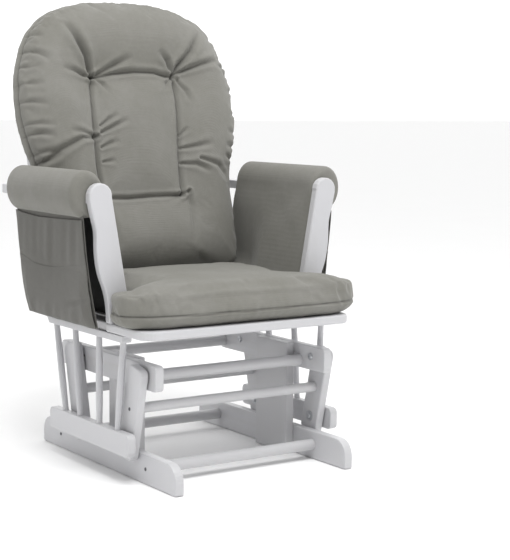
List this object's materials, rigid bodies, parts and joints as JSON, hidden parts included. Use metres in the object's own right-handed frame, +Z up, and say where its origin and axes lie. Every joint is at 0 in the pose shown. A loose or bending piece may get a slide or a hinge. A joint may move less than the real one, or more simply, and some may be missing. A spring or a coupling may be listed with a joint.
{
  "type": "glider nursery chair",
  "caption": "Glider nursery chair: white painted wooden frame hung on four swinging links, with a tufted grey fabric back cushion, seat cushion, rolled arm pads and side pocket panels.",
  "frame": {"origin": "Centre of the whole chair in plan, on the floor under the runners.", "axes": "+X is the sitter's left, +Y is behind the chair, +Z is up. The chair faces -Y."},
  "size_m": [0.688, 0.7099, 1.02],
  "materials": {
    "white_paint": "satin white paint on solid wood",
    "grey_fabric": "brushed suede-like woven fabric",
    "zinc_steel": "zinc plated"
  },
  "bodies": {
    "base": {"runner_left": "white_paint", "runner_right": "white_paint", "top_rail_left": "white_paint", "top_rail_right": "white_paint", "base_post_left": "white_paint", "base_post_right": "white_paint", "lower_dowel_front": "white_paint", "lower_dowel_rear": "white_paint", "upper_dowel_front": "white_paint", "upper_dowel_rear": "white_paint", "upper_bolt_front_left": "zinc_steel", "upper_bolt_front_right": "zinc_steel", "upper_bolt_rear_left": "zinc_steel", "upper_bolt_rear_right": "zinc_steel"},
    "rear_links": {"rear_link_left": "white_paint", "rear_link_right": "white_paint", "rear_link_dowel": "white_paint", "link_bearing_rear_left": "zinc_steel", "link_bearing_rear_right": "zinc_steel"},
    "front_links": {"front_link_left": "white_paint", "front_link_right": "white_paint", "front_link_dowel": "white_paint", "link_bearing_front_left": "zinc_steel", "link_bearing_front_right": "zinc_steel"},
    "seat": {"lower_rail_left": "white_paint", "lower_rail_right": "white_paint", "seat_side_rail_left": "white_paint", "seat_side_rail_right": "white_paint", "spindle_1_left": "white_paint", "spindle_2_left": "white_paint", "spindle_3_left": "white_paint", "spindle_4_left": "white_paint", "spindle_1_right": "white_paint", "spindle_2_right": "white_paint", "spindle_3_right": "white_paint", "spindle_4_right": "white_paint", "front_plank": "white_paint", "seat_deck": "white_paint", "rear_seat_rail": "white_paint", "arm_post_left": "white_paint", "arm_post_right": "white_paint", "arm_rail_left": "white_paint", "arm_rail_right": "white_paint", "back_stile_left": "white_paint", "back_stile_right": "white_paint", "back_crest_rail": "white_paint", "back_lower_rail": "white_paint", "back_slat_1": "white_paint", "back_slat_2": "white_paint", "back_slat_3": "white_paint", "lower_bolt_front_left": "zinc_steel", "lower_bolt_front_right": "zinc_steel", "lower_bolt_rear_left": "zinc_steel", "lower_bolt_rear_right": "zinc_steel", "back_cushion": "grey_fabric", "seat_cushion": "grey_fabric", "arm_pad_left": "grey_fabric", "arm_pad_right": "grey_fabric", "pocket_panel_left": "grey_fabric", "pocket_panel_right": "grey_fabric"}
  },
  "joints": [
    {"name": "rear_link_swing", "type": "hinge", "parent": "base", "child": "rear_links", "pos_m": [0, 0.0589, 0.229], "axis": [1, 0, 0], "range_deg": [-15, 15], "stiffness_Nm_per_rad": 30, "springref_deg": -17.93},
    {"name": "front_link_swing", "type": "hinge", "parent": "base", "child": "front_links", "pos_m": [0, -0.2245, 0.229], "axis": [1, 0, 0], "range_deg": [-15.5, 15.5]},
    {"name": "seat_swing", "type": "hinge", "parent": "rear_links", "child": "seat", "pos_m": [0, 0.0257, 0.087], "axis": [1, 0, 0], "range_deg": [-20, 20]}
  ],
  "couplings": [
    {"joint": "front_link_swing", "follows": "rear_link_swing", "ratio": 1},
    {"joint": "seat_swing", "follows": "rear_link_swing", "ratio": -1.3}
  ]
}
